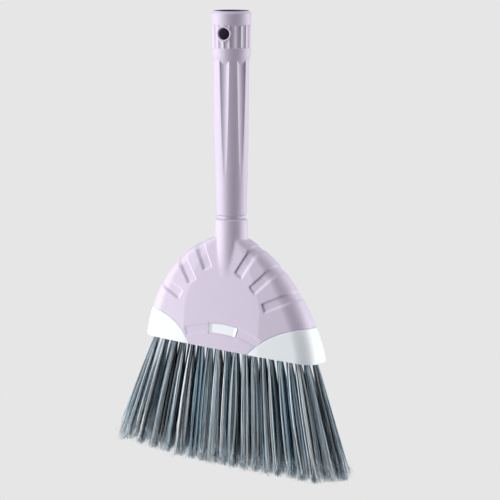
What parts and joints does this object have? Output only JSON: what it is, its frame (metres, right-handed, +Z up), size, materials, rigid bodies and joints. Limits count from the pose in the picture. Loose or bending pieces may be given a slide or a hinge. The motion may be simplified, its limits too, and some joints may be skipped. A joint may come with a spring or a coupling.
{
  "type": "hand broom",
  "caption": "Hand broom with a hollow fluted grip that screws into a fan-shaped head, and splayed tufts set in a slanted block.",
  "frame": {"origin": "centre of the hanging hole through the handle's collar, on the handle's axis", "axes": "+Z up along the handle, -Y out of the front of the head, +X to the right seen from the front, where the bristles reach lowest"},
  "size_m": [0.2326, 0.0728, 0.4394],
  "materials": {
    "grip_plastic": "satin moulded polypropylene, lilac",
    "cover_plastic": "satin moulded polypropylene, lilac",
    "block_plastic": "satin moulded polypropylene, white",
    "badge_plastic": "satin moulded polypropylene, white, plain",
    "bristle_fibre": "drawn synthetic filament, blue-grey and navy mixed, split tips",
    "anchor_wire": "flat drawn wire"
  },
  "bodies": {
    "handle": {"handle": "grip_plastic"},
    "head": {"head_cover": "cover_plastic", "bristle_block": "block_plastic", "badge_plate": "badge_plastic", "bristle_row_1": "bristle_fibre", "bristle_row_2": "bristle_fibre", "bristle_row_3": "bristle_fibre", "bristle_row_4": "bristle_fibre", "bristle_row_5": "bristle_fibre", "tuft_anchors_row_1": "anchor_wire", "tuft_anchors_row_2": "anchor_wire", "tuft_anchors_row_3": "anchor_wire", "tuft_anchors_row_4": "anchor_wire", "tuft_anchors_row_5": "anchor_wire"}
  },
  "joints": [
    {"name": "head_unscrew", "type": "slide", "parent": "handle", "child": "head", "axis": [0, 0, -1], "range_m": [0, 0.023]}
  ]
}
